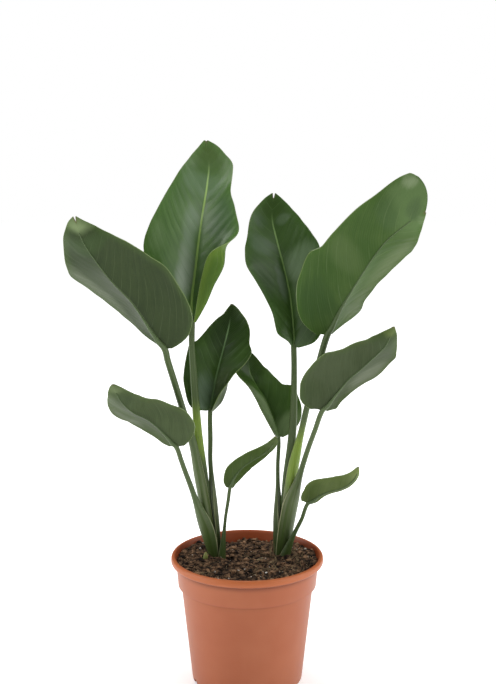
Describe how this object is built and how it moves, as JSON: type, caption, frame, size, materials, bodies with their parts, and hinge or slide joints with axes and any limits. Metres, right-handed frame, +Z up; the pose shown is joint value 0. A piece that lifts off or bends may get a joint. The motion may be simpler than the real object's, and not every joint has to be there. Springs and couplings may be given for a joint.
{
  "type": "potted bird of paradise",
  "caption": "Young bird of paradise plants with broad leaves on long stalks, standing in potting soil in a round terracotta-coloured nursery pot.",
  "frame": {"origin": "centre of the pot's flat underside", "axes": "+Z up; +X to the right and +Y away as the plant is seen from the front, where the two broad outer leaves turn their undersides to the viewer"},
  "size_m": [0.3762, 0.17, 0.6022],
  "materials": {
    "pot_plastic": "satin",
    "potting_soil": "matte",
    "leaf": "satin",
    "young_shoot": "satin"
  },
  "bodies": {
    "root": {"pot": "pot_plastic", "soil": "potting_soil", "left_tall_leaf": "leaf", "left_broad_leaf": "leaf", "left_inner_leaf": "leaf", "left_low_leaf": "leaf", "left_curled_leaf": "leaf", "right_tall_leaf": "leaf", "right_broad_leaf": "leaf", "right_inner_leaf": "leaf", "right_side_leaf": "leaf", "right_small_leaf": "leaf", "shoot_tip": "young_shoot"}
  },
  "joints": []
}
